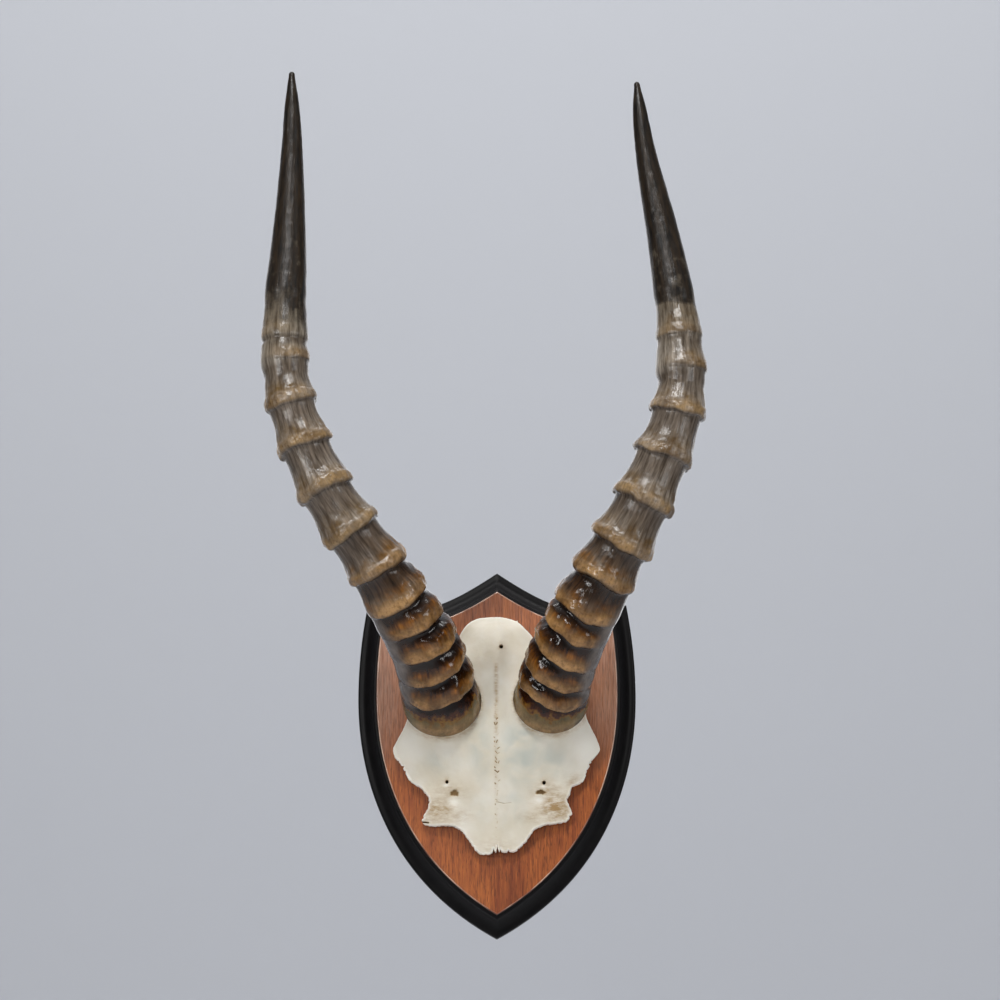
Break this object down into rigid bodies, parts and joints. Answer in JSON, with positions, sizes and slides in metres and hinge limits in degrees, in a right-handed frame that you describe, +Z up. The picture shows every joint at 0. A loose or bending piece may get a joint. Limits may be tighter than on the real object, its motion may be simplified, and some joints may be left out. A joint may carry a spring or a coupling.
{
  "type": "blesbok horn plaque",
  "caption": "Shield-shaped wooden wall plaque carrying a cut skull cap with two long ringed horns that rise, spread and curve upward.",
  "frame": {"origin": "centre of the shield's height and width, on its flat back face, which lies against the wall", "axes": "+Z up the wall towards the horn tips, +Y into the wall, -Y out of the wall towards the viewer, +X to the viewer's right"},
  "size_m": [0.253, 0.1394, 0.4857],
  "materials": {
    "mahogany_board": "reddish mahogany stain under satin lacquer, routed border painted satin black",
    "bone": "bleached bone, matt with a faint sheen",
    "horn": "natural horn, dark grooves and tan ring crests, sealed with a light gloss",
    "zinc_plate": "bright zinc plating",
    "screw_steel": "yellow zinc plating"
  },
  "bodies": {
    "root": {"shield_board": "mahogany_board", "skull_cap": "bone", "horn_left": "horn", "horn_right": "horn", "hanger_plate": "zinc_plate", "hanger_screw_1": "screw_steel", "hanger_screw_2": "screw_steel", "skull_screw_left": "screw_steel", "skull_screw_right": "screw_steel"}
  },
  "joints": []
}
